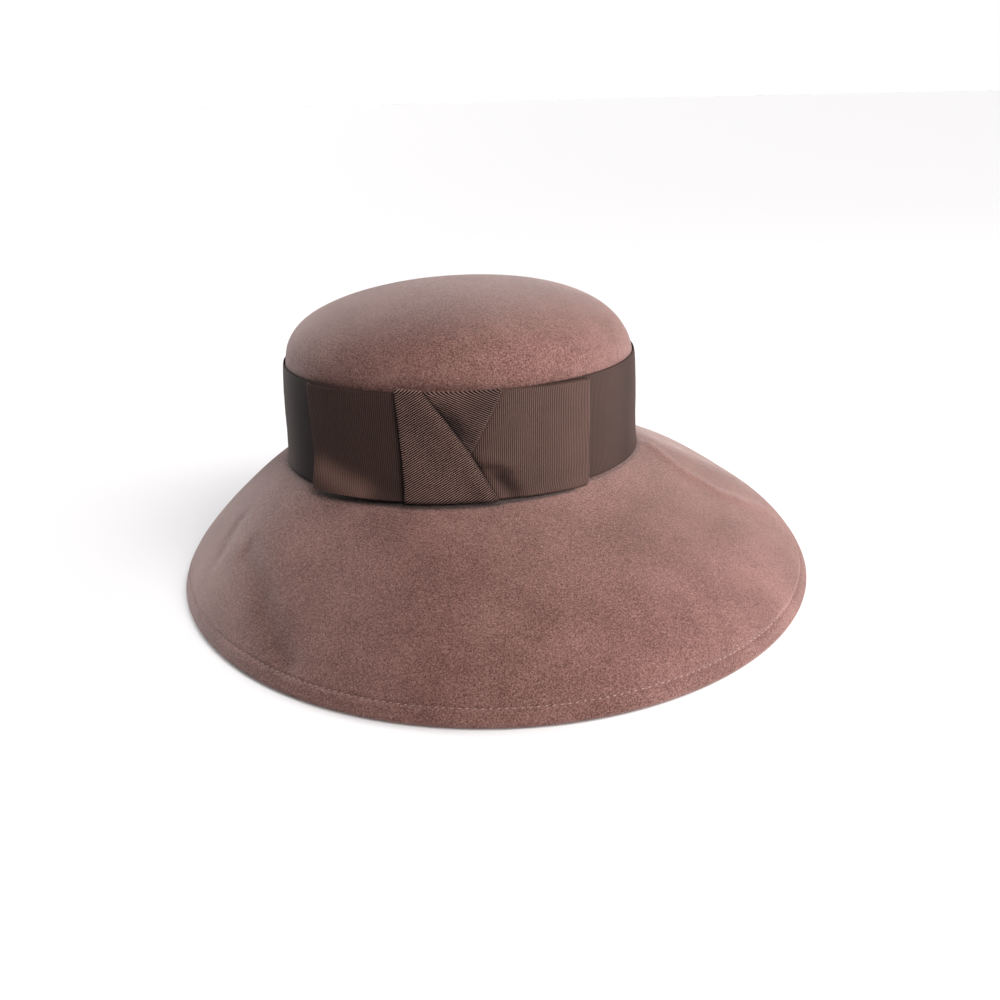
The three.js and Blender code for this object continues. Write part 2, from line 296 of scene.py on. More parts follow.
def ribbonMaterial(name, weave):
    material, tree, shader = newMaterial(name)
    uv = addNode(tree, "ShaderNodeUVMap", uv_map="ribbon").outputs["UV"]
    split = addNode(tree, "ShaderNodeSeparateXYZ", {"Vector": uv})
    turn = addNode(tree, "ShaderNodeMath", {0: split.outputs["X"], 1: fullTurn}, operation="MULTIPLY")
    wave = addNode(tree, "ShaderNodeMath", {0: turn.outputs[0]}, operation="COSINE")
    place = addNode(tree, "ShaderNodeTexCoord").outputs["Object"]
    tone = addNode(tree, "ShaderNodeTexNoise", {
        "Vector": place, "Scale": ribbonLook["toneScale"], "Detail": 3.0})
    thread = addNode(tree, "ShaderNodeTexNoise", {
        "Vector": place, "Scale": ribbonLook["threadScale"], "Detail": 2.0})
    lifted = addNode(tree, "ShaderNodeMath", {0: wave.outputs[0], 1: 0.5, 2: 0.5}, operation="MULTIPLY_ADD")
    spread = addNode(tree, "ShaderNodeMath", {
        0: tone.outputs["Fac"], 1: ribbonLook["toneShare"], 2: lifted.outputs[0]}, operation="MULTIPLY_ADD")
    varied = addNode(tree, "ShaderNodeMath", {
        0: thread.outputs["Fac"], 1: ribbonLook["threadShare"], 2: spread.outputs[0]},
        operation="MULTIPLY_ADD")
    colour = rampNode(tree, varied.outputs[0], [
        (weave["from"], weave["valley"]), (weave["to"], weave["ridge"])])
    # painted shade and painted highlights from the shade attribute scale the ribbon's colour
    shade = addNode(tree, "ShaderNodeAttribute", attribute_name="shade").outputs["Fac"]
    shaded = addNode(tree, "ShaderNodeVectorMath", {0: colour, "Scale": shade}, operation="SCALE")
    tree.links.new(shaded.outputs[0], shader.inputs["Base Color"])
    warp = addNode(tree, "ShaderNodeMath", {
        0: split.outputs["Y"], 1: ribbonLook["warpScale"] * fullTurn}, operation="MULTIPLY")
    warpWave = addNode(tree, "ShaderNodeMath", {0: warp.outputs[0]}, operation="SINE")
    rough = addNode(tree, "ShaderNodeMath", {
        0: thread.outputs["Fac"], 1: warpWave.outputs[0]}, operation="ADD")
    bump = addNode(tree, "ShaderNodeBump", {
        "Height": rough.outputs[0], "Strength": 0.6, "Distance": ribbonLook["bumpDepth"]})
    tree.links.new(bump.outputs["Normal"], shader.inputs["Normal"])
    shader.inputs["Roughness"].default_value = 0.7
    shader.inputs["Specular IOR Level"].default_value = 0.2
    return material


roseFelt = feltMaterial()
straightWeave = ribbonMaterial("taupe_grosgrain", ribbonLook["straight"])
smoothShadedWeave = ribbonMaterial("taupe_grosgrain_smooth_shaded", ribbonLook["smooth"])
slantWeave = ribbonMaterial("taupe_grosgrain_slant", ribbonLook["slant"])
print("materials made")

# Felt body at full fineness: rows bunch up at the hem, where the stitched groove lies
feltMesh = {
    "columns": 480,
    "crownRows": 46,
    "brimRows": 46,
    "hemRows": 26,
    "foldRows": 8,
    "innerRows": 44,
    "grooveDepth": 0.00055,
    "grooveHalf": 0.0009,
    "puff": 0.0003,
    "hemZone": 1.45,  # fine rows reach in to this many hem widths
    "footCrowding": 1.25,  # above 1 the brim's rows stand closer by the crown
}
# Underside of the turned-in hem: distance in from the edge in hem widths, depth in felt thicknesses
hemUnder = [(0.5, 2), (0.85, 2), (0.98, 1.95), (1, 1.8), (1.02, 1.1)]


def hemPlaces(distance, azimuth):
    # place along the sections that lies a given distance in from the edge
    edge = feltPoint(brimEdge, azimuth)
    inside = np.full_like(azimuth, crownFoot + 1.0)
    outside = np.full_like(azimuth, float(brimEdge))
    for _ in range(30):
        between = (inside + outside) / 2
        far = np.linalg.norm(feltPoint(between, azimuth) - edge, axis=-1) > distance
        inside, outside = np.where(far, between, inside), np.where(far, outside, between)
    return (inside + outside) / 2


def grooveLift(distance):
    # the seam sinks in and the felt beside it stands a little proud
    away = (distance - hat["hemWidth"]) / feltMesh["grooveHalf"]
    sink = -feltMesh["grooveDepth"] * np.exp(-away ** 2)
    roll = np.clip(distance / hat["hemWidth"], 0, 1)
    swell = feltMesh["puff"] * np.sin(np.pi * roll) ** 2
    return sink + swell


def makeFelt():
    azimuth = np.arange(feltMesh["columns"]) / feltMesh["columns"] * fullTurn
    thickness = hat["thickness"]
    rows = []
    hemZone = hat["hemWidth"] * feltMesh["hemZone"]
    hemStart = hemPlaces(hemZone, azimuth)
    crownShares = np.linspace(0, crownFoot, feltMesh["crownRows"])[1:]
    for place in crownShares:
        rows.append(feltPoint(np.full_like(azimuth, place), azimuth))
    for share in np.linspace(0, 1, feltMesh["brimRows"])[1:] ** feltMesh["footCrowding"]:
        rows.append(feltPoint(crownFoot + (hemStart - crownFoot) * share, azimuth))
    for distance in np.linspace(hemZone, 0, feltMesh["hemRows"])[1:]:
        place = hemPlaces(distance, azimuth) if distance > 0 else np.full_like(azimuth, brimEdge)
        lift = grooveLift(distance)
        rows.append(feltPoint(place, azimuth) + feltNormal(place, azimuth) * lift)
    edgePlace = np.full_like(azimuth, brimEdge)
    edge, normal = feltPoint(edgePlace, azimuth), feltNormal(edgePlace, azimuth)
    level = normal * [1, 1, 0]
    level = level / np.linalg.norm(level, axis=-1, keepdims=True)
    centre = edge - normal * thickness
    start = np.arctan2(normal[:, 2], np.hypot(normal[:, 0], normal[:, 1]))
    restAngle = math.asin(hat["restStrip"] / 2 / thickness)
    low = [restAngle - math.pi / 2, -restAngle - math.pi / 2]
    turns = [start + (low[0] - start) * k / feltMesh["foldRows"] for k in range(1, feltMesh["foldRows"])]
    turns += [np.full_like(start, low[0]), np.full_like(start, low[1])]
    turns += [low[1] + (start - math.pi - low[1]) * k / 3 for k in range(1, 4)]
    for turn in turns:
        ring = centre + level * (thickness * np.cos(turn))[:, None]
        ring[:, 2] = np.maximum(centre[:, 2] + thickness * np.sin(turn), 0)
        if np.allclose(turn, low[0]) or np.allclose(turn, low[1]):
            ring[:, 2] = 0
        rows.append(ring)
    for distance, depth in hemUnder:
        place = hemPlaces(hat["hemWidth"] * distance, azimuth)
        rows.append(feltPoint(place, azimuth) - feltNormal(place, azimuth) * thickness * depth)
    innerStart = hemPlaces(hat["hemWidth"] * 1.1, azimuth)
    for share in np.linspace(0, 1, feltMesh["innerRows"]):
        place = innerStart + (crownFoot - innerStart) * share
        rows.append(feltPoint(place, azimuth) - feltNormal(place, azimuth) * thickness)
    for place in crownShares[::-2][1:]:
        ring = np.full_like(azimuth, place)
        rows.append(feltPoint(ring, azimuth) - feltNormal(ring, azimuth) * thickness)
    top = feltPoint(0.0, 0.0)
    points = np.concatenate([top[None], *rows, top[None] - [[0, 0, thickness]]])
    columns = feltMesh["columns"]
    ahead = (np.arange(columns) + 1) % columns
    faces = [(0, 1 + a, 1 + b) for a, b in zip(range(columns), ahead.tolist())]
    for row in range(len(rows) - 1):
        upper, lower = 1 + row * columns, 1 + (row + 1) * columns
        faces += [(upper + a, lower + a, lower + b, upper + b)
                  for a, b in zip(range(columns), ahead.tolist())]
    last = 1 + (len(rows) - 1) * columns
    faces += [(last + b, last + a, len(points) - 1) for a, b in zip(range(columns), ahead.tolist())]
    return newObject("felt_hat_body", points, faces)


felt = makeFelt()
felt.data.materials.append(roseFelt)
print("felt made")

# The wall that the ribbons lie on, and distances along it
ribbon = {
    "width": bandHigh.z - bandLow.z,
    "foot": bandLow.z,
    "pitch": 0.00102,
    "ribHeight": 0.00007,
    "slantRibHeight": 0.00022,
    "toothDepth": 0.00032,
    "samples": 6,
    "thickness": 0.0007,
    "base": 0.0013,
    "bowAzimuth": math.radians(260.5),
}
planSteps = 7200
planAngle = np.linspace(0, 2 * fullTurn, 2 * planSteps + 1)
planX = hat["crownLength"] / 2 * np.cos(planAngle)
planY = hat["crownWidth"] / 2 * np.sin(planAngle)
planRun = np.concatenate([[0], np.cumsum(np.hypot(np.diff(planX), np.diff(planY)))])
girth = planRun[planSteps]
bowStart = np.interp(ribbon["bowAzimuth"], planAngle, planRun)
heightPlaces = np.linspace(1, crownFoot, 2000)
heightValues = crownOval(heightPlaces)[3]


def onBand(along, height, off):
    # along is counted forward from the bow's middle, off outward from the band's outer face
    along, height, off = np.broadcast_arrays(along, height, off)
    azimuth = np.interp((bowStart + along) % girth, planRun, planAngle)
    clamped = np.clip(height, ribbon["foot"], ribbon["foot"] + ribbon["width"])
    place = np.interp(-clamped, -heightValues, heightPlaces)
    halfLength, halfWidth, middle, _ = crownOval(place)
    halfLength, halfWidth = halfLength + ribbon["base"], halfWidth + ribbon["base"]
    outX, outY = np.cos(azimuth) / halfLength, np.sin(azimuth) / halfWidth
    size = np.hypot(outX, outY)
    x = middle + halfLength * np.cos(azimuth) + off * outX / size
    y = halfWidth * np.sin(azimuth) + off * outY / size
    return np.stack([x, y, height], -1)


def gridNormals(grid, closed):
    if closed:
        run = np.roll(grid, -1, 1) - np.roll(grid, 1, 1)
    else:
        run = np.gradient(grid, axis=1)
    normal = np.cross(run, np.gradient(grid, axis=0))
    return normal / np.maximum(np.linalg.norm(normal, axis=-1, keepdims=True), 1e-12)


def lineShade(along, height, lines):
    # painted shade along creases and under edges, and painted highlights where a depth is below nought: each
    # line has a path, a width in mm and a depth
    along, height = np.broadcast_arrays(along, height)
    shade = np.ones(along.shape)
    for line in lines:
        away = pathDistance(along, height, line["path"]) / (line["width"] * mm)
        shade = shade * (1 - line["depth"] * np.exp(-away ** 2))
    return shade


def ribbonSheet(name, middle, ribs, shares, shade, teeth=(), closed=False):
    # middle is the ribbon's middle layer, rows by columns; shade is its painted shade, point by point; teeth
    # are the rows at a selvedge
    rows, columns = middle.shape[:2]
    normal = gridNormals(middle, closed)
    thin = np.clip(np.minimum(np.arange(rows), np.arange(rows)[::-1]) * 0.3 + 0.5, 0, 1)[:, None, None]
    half = normal * thin * ribbon["thickness"] / 2
    across = np.gradient(middle, axis=0)
    across = across / np.maximum(np.linalg.norm(across, axis=-1, keepdims=True), 1e-12)
    selvedge = np.zeros_like(middle)
    for row in teeth:
        selvedge[row] = across[row] * (1 if row else -1)
    points = np.concatenate([middle + half, (middle - half)[::-1]]).reshape(-1, 3)
    toothed = np.concatenate([selvedge, selvedge[::-1]]).reshape(-1, 3)
    ribNumber = np.tile(ribs, 2 * rows)
    shareNumber = np.repeat(np.concatenate([shares, shares[::-1]]), columns)
    index = np.arange(2 * rows * columns).reshape(2 * rows, columns)
    last = columns if closed else columns - 1
    here, ahead = np.arange(last), (np.arange(last) + 1) % columns
    faces = []
    for row in range(2 * rows):
        low, high = index[row], index[(row + 1) % (2 * rows)]
        faces.append(np.stack([low[here], low[ahead], high[ahead], high[here]], -1))
    if not closed:
        for row in range(rows - 1):
            under = 2 * rows - 1 - row
            for column in (0, columns - 1):
                cap = [index[row, column], index[row + 1, column],
                       index[under - 1, column], index[under, column]]
                faces.append(np.array([cap if column == 0 else cap[::-1]]))
    faces = np.concatenate(faces)
    uv = np.stack([ribNumber[faces], shareNumber[faces]], -1)
    if closed:
        # the faces that close the ring carry on counting ribs instead of jumping back to nought
        wrapped = uv[..., 0].max(1) - uv[..., 0].min(1) > 1
        counted = uv[wrapped, :, 0]
        uv[wrapped, :, 0] = np.where(counted < 1, counted + ribs[-1] + ribs[1], counted)
    piece = newObject(name, points, faces.tolist(), uv)
    piece.data.attributes.new("rib", "FLOAT", "POINT").data.foreach_set("value", ribNumber.astype(np.float32))
    arrow = piece.data.attributes.new("selvedge", "FLOAT_VECTOR", "POINT")
    arrow.data.foreach_set("vector", toothed.astype(np.float32).ravel())
    # the painted shade is kept on each point as the shade attribute
    paintedShadeValues = np.concatenate([shade, shade[::-1]]).astype(np.float32).ravel()
    piece.data.attributes.new("shade", "FLOAT", "POINT").data.foreach_set("value", paintedShadeValues)
    return piece


def newTree(name, inputs):
    tree = bpy.data.node_groups.new(name, "GeometryNodeTree")
    tree.interface.new_socket("Geometry", in_out="INPUT", socket_type="NodeSocketGeometry")
    for label, kind in inputs.items():
        tree.interface.new_socket(label, in_out="INPUT", socket_type="NodeSocket" + kind)
    tree.interface.new_socket("Geometry", in_out="OUTPUT", socket_type="NodeSocketGeometry")
    return tree, tree.nodes.new("NodeGroupInput").outputs


def endTree(tree, geometry, material):
    realized = addNode(tree, "GeometryNodeRealizeInstances", {"Geometry": geometry})
    painted = addNode(tree, "GeometryNodeSetMaterial", {
        "Geometry": realized.outputs[0], "Material": material})
    tree.links.new(painted.outputs[0], tree.nodes.new("NodeGroupOutput").inputs["Geometry"])


def applyTree(piece, tree, values):
    modifier = piece.modifiers.new(tree.name, "NODES")
    modifier.node_group = tree
    for item in tree.interface.items_tree:
        if item.in_out == "INPUT" and item.name in values:
            modifier[item.identifier] = values[item.name]
    bpy.context.view_layer.update()
    finished = bpy.data.meshes.new_from_object(piece.evaluated_get(bpy.context.evaluated_depsgraph_get()))
    piece.modifiers.clear()
    piece.data = finished
    return piece


# Raises one rib for each unit of the "rib" attribute, and lets its ends stand out at a selvedge
ribTree, ribInput = newTree("ribbonRibs", {
    "Rib Height": "Float", "Tooth Depth": "Float", "Material": "Material"})
ribNumber = addNode(ribTree, "GeometryNodeInputNamedAttribute", {"Name": "rib"}).outputs["Attribute"]
ribTurn = addNode(ribTree, "ShaderNodeMath", {0: ribNumber, 1: fullTurn}, operation="MULTIPLY")
ribWave = addNode(ribTree, "ShaderNodeMath", {0: ribTurn.outputs[0]}, operation="COSINE")
ribLift = addNode(ribTree, "ShaderNodeMath", {
    0: ribWave.outputs[0], 1: ribInput["Rib Height"]}, operation="MULTIPLY")
toothLift = addNode(ribTree, "ShaderNodeMath", {
    0: ribWave.outputs[0], 1: ribInput["Tooth Depth"]}, operation="MULTIPLY")
edgeArrow = addNode(ribTree, "GeometryNodeInputNamedAttribute", {
    "Name": "selvedge"}, data_type="FLOAT_VECTOR")
faceNormal = addNode(ribTree, "GeometryNodeInputNormal").outputs[0]
normalMove = addNode(ribTree, "ShaderNodeVectorMath", {
    0: faceNormal, "Scale": ribLift.outputs[0]}, operation="SCALE")
edgeMove = addNode(ribTree, "ShaderNodeVectorMath", {
    0: edgeArrow.outputs["Attribute"], "Scale": toothLift.outputs[0]}, operation="SCALE")
wholeMove = addNode(ribTree, "ShaderNodeVectorMath", {
    0: normalMove.outputs[0], 1: edgeMove.outputs[0]}, operation="ADD")
ribbed = addNode(ribTree, "GeometryNodeSetPosition", {
    "Geometry": ribInput["Geometry"], "Offset": wholeMove.outputs[0]})
endTree(ribTree, ribbed.outputs[0], ribInput["Material"])


def addRibs(piece, ribHeight, material):
    return applyTree(piece, ribTree, {
        "Rib Height": ribHeight, "Tooth Depth": ribbon["toothDepth"], "Material": material})


# Rows across a ribbon, closer together at its edges
bandShares = np.array([0, 0.006, 0.02, 0.11, 0.3, 0.5, 0.7, 0.89, 0.95, 0.98, 0.994, 1])
loopShares = np.array([0, 0.006, 0.016, *np.linspace(0.035, 0.965, 28), 0.984, 0.994, 1])
# Painted shade on the band: painted shadows above the loops' top edges and beside their ends, and painted
# shade over the band's left and right parts; path and width in mm
bandShadeLines = [
    {"path": [(46, 124.6), (60, 124.4), (75, 123.6)], "width": 0.8, "depth": 0.85},
    {"path": [(-77, 124.2), (-27, 124.2)], "width": 1.4, "depth": 0.8},
    {"path": [(75.2, 122), (75.2, 70)], "width": 1.6, "depth": 0.35},
    {"path": [(-74, 66), (-76.5, 90), (-78.4, 124)], "width": 3.5, "depth": 0.35},
    {"path": [(-88, 66), (-92, 124)], "width": 15, "depth": 0.7},
    {"path": [(112, 66), (116, 124)], "width": 12, "depth": 0.3},
]


def makeBand():
    ribs = round(girth * 1.016 / ribbon["pitch"])
    columns = ribs * ribbon["samples"]
    along = np.arange(columns)[None] * girth / columns
    height = ribbon["foot"] + ribbon["width"] * bandShares[:, None]
    middle = onBand(along, height, -0.00045)
    fromBow = (along + girth / 2) % girth - girth / 2
    shade = lineShade(fromBow, height, bandShadeLines)
    numbers = np.arange(columns) / ribbon["samples"]
    piece = ribbonSheet("ribbon_band", middle, numbers, bandShares, shade, (0, -1), True)
    return addRibs(piece, ribbon["ribHeight"] / 2, smoothShadedWeave)


band = makeBand()
print("band made")

# The bow's two loops: how far they reach, stand off the band and are pinched under the knot
bow = {
    "halfLength": 0.0742,
    "width": 0.0563,
    "backOff": 0.0005,
    "loopDepth": 0.0022,
    "endRadius": 0.00085,
    "innerEnd": 0.005,
    "pinch": 0.0012,
    "pinchSoftness": 0.0014,
    "bulge": 0.12,
}
# How each loop (-1 is the left one) sags, leans, spreads or narrows, and is cut back at its lower corner
loopShape = {
    -1: {"sag": 0.0002, "lean": 0.0005, "spread": 0.048, "narrow": 0, "cornerSize": 0.12, "cornerCut": 0.03},
    1: {"sag": 0.0018, "lean": 0, "spread": 0, "narrow": 0.024, "cornerSize": 0.14, "cornerCut": 0.03},
}
# The left loop's lower part stands out from the band below a soft crease that climbs away from the knot
flare = {
    "depth": 0.0042,
    "width": 0.021,
    "lift": 0.0012,
    "creaseFrom": 0.0754,
    "creaseTo": 0.0897,
    "creaseStart": 0.026,
    "creaseRun": 0.046,
    "fadeStart": 0.018,
    "fadeRun": 0.04,
}
# Soft dents: centre, direction in degrees, length, width and lift, in mm
loopDents = {
    -1: [
        {"along": -52, "height": 100, "turn": -20, "length": 26, "width": 10, "lift": -0.6},
        {"along": -76, "height": 122, "turn": 0, "length": 12, "width": 10, "lift": 0.8},
    ],
    1: [
        {"along": 24, "height": 76.5, "turn": -50, "length": 8, "width": 3.1, "lift": -1.6},
        {"along": 18, "height": 89.5, "turn": -12, "length": 9, "width": 2.4, "lift": 0.8},
        {"along": 14, "height": 98, "turn": -8, "length": 14, "width": 6, "lift": 0.3},
        {"along": 40, "height": 100, "turn": 80, "length": 22, "width": 4.5, "lift": -0.35},
        {"along": 58, "height": 96, "turn": 86, "length": 26, "width": 7, "lift": 0.3},
        {"along": 66, "height": 72, "turn": -10, "length": 16, "width": 6, "lift": 0.6},
    ],
}
# Lines under the knot and fold: where they press on the loops
pressLine = {
    -1: [(-24.4, 66), (-24.4, 98), (-26.2, 128)],
    1: [(22.3, 66), (16.2, 80.4), (9.6, 95), (25.2, 127)],
}
# Painted shade on the loops: painted shadows along the knot's and fold's edges, along a soft crease and in
# the right loop's hollow; a depth below nought is a painted highlight, on the left loop's flared lower part
# and along the right loop's folded end; path and width in mm
loopShadeLines = {
    -1: [
        {"path": [(-24.2, 66), (-24.6, 98), (-26.4, 128)], "width": 1.5, "depth": 0.8},
        {"path": [(-75, 90), (-60, 87), (-41, 81.5), (-25.9, 75.4)], "width": 4, "depth": 0.12},
        {"path": [(-69, 81), (-59, 77), (-47, 73)], "width": 7, "depth": -2.3},
    ],
    1: [
        {"path": [(21.5, 67), (15.8, 80.4), (9.2, 94.5)], "width": 1.0, "depth": 0.75},
        {"path": [(9.2, 94.5), (25.4, 127)], "width": 0.8, "depth": 0.8},
        {"path": [(14, 87.6), (23.5, 86.4), (29, 83)], "width": 1.3, "depth": 0.3},
        {"path": [(25, 81), (30.5, 73)], "width": 4.2, "depth": 0.5},
        {"path": [(73.6, 66), (75, 124)], "width": 0.5, "depth": -0.3},
    ],
}


def dentLift(along, height, dents):
    lift = 0
    for dent in dents:
        turn = math.radians(dent["turn"])
        right, up = along / mm - dent["along"], height / mm - dent["height"]
        forward = right * math.cos(turn) + up * math.sin(turn)
        sideways = up * math.cos(turn) - right * math.sin(turn)
        away = (forward / dent["length"]) ** 2 + (sideways / dent["width"]) ** 2
        lift = lift + dent["lift"] * mm * np.exp(-0.5 * away)
    return lift


def makeLoop(side):
    # one strip: out along the band, round the folded end, back over the front to the knot
    share = loopShares[:, None]
    flat = bow["halfLength"] - bow["innerEnd"]
    bend = math.pi * bow["endRadius"]
    ribs = round((2 * flat + bend) / ribbon["pitch"])
    run = np.linspace(0, 2 * flat + bend, ribs * ribbon["samples"] + 1)[None]
    turn = np.clip((run - flat) / bend, 0, 1) * math.pi
    straight = np.where(run < flat, run, np.where(run > flat + bend, 2 * flat + bend - run, flat))
    reach = bow["innerEnd"] + straight + bow["endRadius"] * np.sin(turn)
    outward = reach / bow["halfLength"]
    shape = loopShape[side]
    droop = shape["sag"] * outward ** 2 + shape["lean"] * share
    corner = np.clip(1 - share / shape["cornerSize"], 0, 1) ** 2
    reachMore = 1 + shape["spread"] * share ** 1.2 - shape["narrow"] * (1 - share)
    reachMore = reachMore - shape["cornerCut"] * corner
    height = ribbon["foot"] + 0.0001 + share * bow["width"] - droop
    along = side * reach * reachMore
    front = (1 - np.cos(turn)) / 2
    press = np.array(pressLine[side], float) * mm
    beyond = side * (along - np.interp(height, press[:, 1], press[:, 0]))
    pinch = bow["pinch"] / (1 + np.exp(np.clip(beyond / bow["pinchSoftness"], -30, 30)))
    puff = bow["loopDepth"] * (1 + bow["bulge"] * np.sin(math.pi * np.clip(outward, 0, 1)))
    off = bow["backOff"] + front * (puff - pinch + dentLift(along, height, loopDents[side]))
    if side < 0:
        climb = np.clip((reach - flare["creaseStart"]) / flare["creaseRun"], 0, 1.2)
        crease = flare["creaseFrom"] + (flare["creaseTo"] - flare["creaseFrom"]) * climb
        below = np.clip((crease - height) / flare["width"], 0, 1)
        fade = np.clip((reach - flare["fadeStart"]) / flare["fadeRun"], 0, 1)
        off = off + flare["depth"] * below ** 1.5 * fade
        height = height + flare["lift"] * below * fade
    numbers = np.arange(ribs * ribbon["samples"] + 1) / ribbon["samples"]
    middle = onBand(along, height, off)
    shade = lineShade(along, height, loopShadeLines[side])
    if side > 0:
        middle, numbers, shade = middle[:, ::-1], numbers[::-1].copy(), shade[:, ::-1]
    name = "bow_back_loop_ribbon" if side < 0 else "bow_front_loop_ribbon"
    sheet = ribbonSheet(name, middle, numbers, loopShares, shade, (0, -1))
    return addRibs(sheet, ribbon["ribHeight"], smoothShadedWeave if side < 0 else straightWeave)


leftLoop, rightLoop = makeLoop(-1), makeLoop(1)
print("bow loops made")

# Knot and its folded corner: ribs run on the slant, so the grid is laid along them and cut to the outline
knot = {
    "ribTurn": math.radians(34),
    "off": 0.0043,
    "edgeRadius": 0.0017,
    "footRadius": 0.0028,
    "rise": 0.0011,
    "riseFrom": 0.003,
    "riseOver": 0.010,
}
knotLeft = [(-23.6, 68.4), (-23.7, 82), (-24.2, 98), (-25.2, 113), (-26.7, 127.6)]
knotRight = [(21.9, 68.6), (15.6, 80.8), (8.0, 96.0), (-2.0, 111.8), (-13.3, 127.2)]
knotOutline = [knotLeft[-1], *knotRight[::-1], (-1, 68.3), *knotLeft[:-1]]
knotDents = [
    {"along": -14, "height": 104, "turn": -62, "length": 16, "width": 3.2, "lift": -0.35},
    {"along": -6, "height": 96, "turn": -58, "length": 18, "width": 3.4, "lift": 0.35},
    {"along": 4, "height": 80, "turn": -60, "length": 12, "width": 3, "lift": -0.2},
]
fold = {"ribTurn": math.radians(-27), "off": 0.0042, "edgeRadius": 0.0014}
foldOutline = [(-15.5, 126.3), (25.3, 126.3), (8.9, 94.4), (5.0, 97.5), (-4.8, 111.5)]
foldDents = [
    {"along": 0.5, "height": 111.5, "turn": -56, "length": 9, "width": 3.2, "lift": -1.6},
    {"along": 17, "height": 118, "turn": 62, "length": 14, "width": 3.5, "lift": 0.25},
]
# Painted shade on the knot: under its curled foot, along its right and left edges and along a soft dent; path
# and width in mm
knotShadeLines = [
    {"path": [(-24.5, 67.6), (-1, 67.6), (22.5, 67.6)], "width": 2.6, "depth": 0.75},
    {"path": [(-13.1, 127.2), (-2.0, 111.8), (8.0, 96.0), (15.6, 80.8), (21.9, 68.6)],
     "width": 0.35, "depth": 0.6},
    {"path": [(-25.2, 66), (-25.2, 98), (-27.2, 128)], "width": 0.5, "depth": 0.5},
    {"path": [(-18, 110), (-12, 97), (-7, 86)], "width": 5, "depth": 0.12},
]
# Painted shade on the fold: a painted shadow along the knot's edge, in its hollow and over its lower right
# part; path and width in mm
foldShadeLines = [
    {"path": [(-13.5, 127), (-2.0, 111.4), (8.0, 95.6)], "width": 1.3, "depth": 0.85},
    {"path": [(-6, 117), (0.5, 110.5), (3.5, 105.5)], "width": 4.2, "depth": 0.6},
    {"path": [(24, 124), (9, 96)], "width": 14, "depth": 0.42},
]


def slantSheet(name, outline, turn, layOff, shadeLines):
    # columns run along the ribs, and each is cut off where it crosses the outline
    corners = np.array(outline) * mm
    side = np.array([math.cos(turn), math.sin(turn)])
    across = np.array([math.sin(turn), -math.cos(turn)])
    if across @ (corners[0] - corners.mean(0)) > 0:
        across = -across
    edges = np.concatenate([corners, corners[:1]])
    fine = np.concatenate([a + (b - a) * np.linspace(0, 1, 400, endpoint=False)[:, None]
                           for a, b in zip(edges[:-1], edges[1:])])
    reach = fine @ across
    ribs = int((reach.max() - reach.min()) / ribbon["pitch"] * ribbon["samples"]) - 2
    columns = reach.min() + (np.arange(ribs) + 1) * ribbon["pitch"] / ribbon["samples"]
    loop = np.concatenate([fine, fine[:1]])
    loopReach, loopSide = loop @ across, loop @ side
    starts, ends = [], []
    for column in columns:
        crossing = np.nonzero((loopReach[:-1] - column) * (loopReach[1:] - column) <= 0)[0]
        gap = loopReach[crossing + 1] - loopReach[crossing]
        gap = np.where(np.abs(gap) < 1e-12, 1, gap)
        share = np.clip((column - loopReach[crossing]) / gap, 0, 1)
        spots = loopSide[crossing] + (loopSide[crossing + 1] - loopSide[crossing]) * share
        starts.append(spots.min())
        ends.append(spots.max())
    starts, ends = np.array(starts), np.array(ends)
    wide = ends - starts > 0.0012
    columns, starts, ends = columns[wide], starts[wide], ends[wide]
    shares = (1 - np.cos(math.pi * np.linspace(0, 1, 29))) / 2
    spots = starts + (ends - starts) * shares[:, None]
    flat = columns[None, :, None] * across + spots[..., None] * side
    along, height = flat[..., 0], flat[..., 1]
    middle = onBand(along, height, layOff(along, height))
    numbers = np.arange(len(columns)) / ribbon["samples"]
    shade = lineShade(along, height, shadeLines)
    facing = gridNormals(middle, False)[14, len(columns) // 2]
    outward = onBand(0.0, 0.1, 0.01) - onBand(0.0, 0.1, 0.0)
    if facing @ outward < 0:
        middle, numbers, shade = middle[:, ::-1], numbers[::-1].copy(), shade[:, ::-1]
    sheet = ribbonSheet(name, middle, numbers, shares, shade, (-1,))
    return addRibs(sheet, ribbon["slantRibHeight"], slantWeave)


def roundedDrop(distances, radius):
    # how far a rounded edge falls away, from the distances to the edges that meet there
    over = np.sqrt(sum(np.clip(radius - distance, 0, radius) ** 2 for distance in distances))
    over = np.minimum(over, radius * 0.995)
    return radius - np.sqrt(radius ** 2 - over ** 2)


def edgeAt(edge, height):
    corners = np.array(edge, float)
    return np.interp(height / mm, corners[:, 1], corners[:, 0]) * mm


def knotOff(along, height):
    left = edgeAt(knotLeft, height)
    drop = roundedDrop([along - left, 0.1274 - height], knot["edgeRadius"])
    drop = np.maximum(drop, roundedDrop([height - 0.0684], knot["footRadius"]))
    right = edgeAt(knotRight, height)
    away = np.clip((right - along - knot["riseFrom"]) / knot["riseOver"], 0, 1)
    rise = knot["rise"] * (1 - away * away * (3 - 2 * away))
    return knot["off"] + rise - drop + dentLift(along, height, knotDents)


def foldOff(along, height):
    drop = roundedDrop([0.1263 - height], fold["edgeRadius"])
    return fold["off"] - drop + dentLift(along, height, foldDents)


knotRibbon = slantSheet("bow_knot_ribbon", knotOutline, knot["ribTurn"], knotOff, knotShadeLines)
foldRibbon = slantSheet("bow_fold_ribbon", foldOutline, fold["ribTurn"], foldOff, foldShadeLines)
print("knot and fold made")

# Painted shadow on the felt where it lies close under the bow's lower edge and along the ribbon's foot
footShade = {
    "loopOff": 0.0032,
    "knotOff": 0.0042,
    "fade": 0.0011,
    "bowDepth": 0.85,
    "bandDepth": 0.45,
    "bandFade": 0.0012,
    "bowMiddle": -0.0055,
    "bowReach": 0.0715,
    "endFade": 0.005,
    "lowest": 0.058,
    "above": 0.002,
}


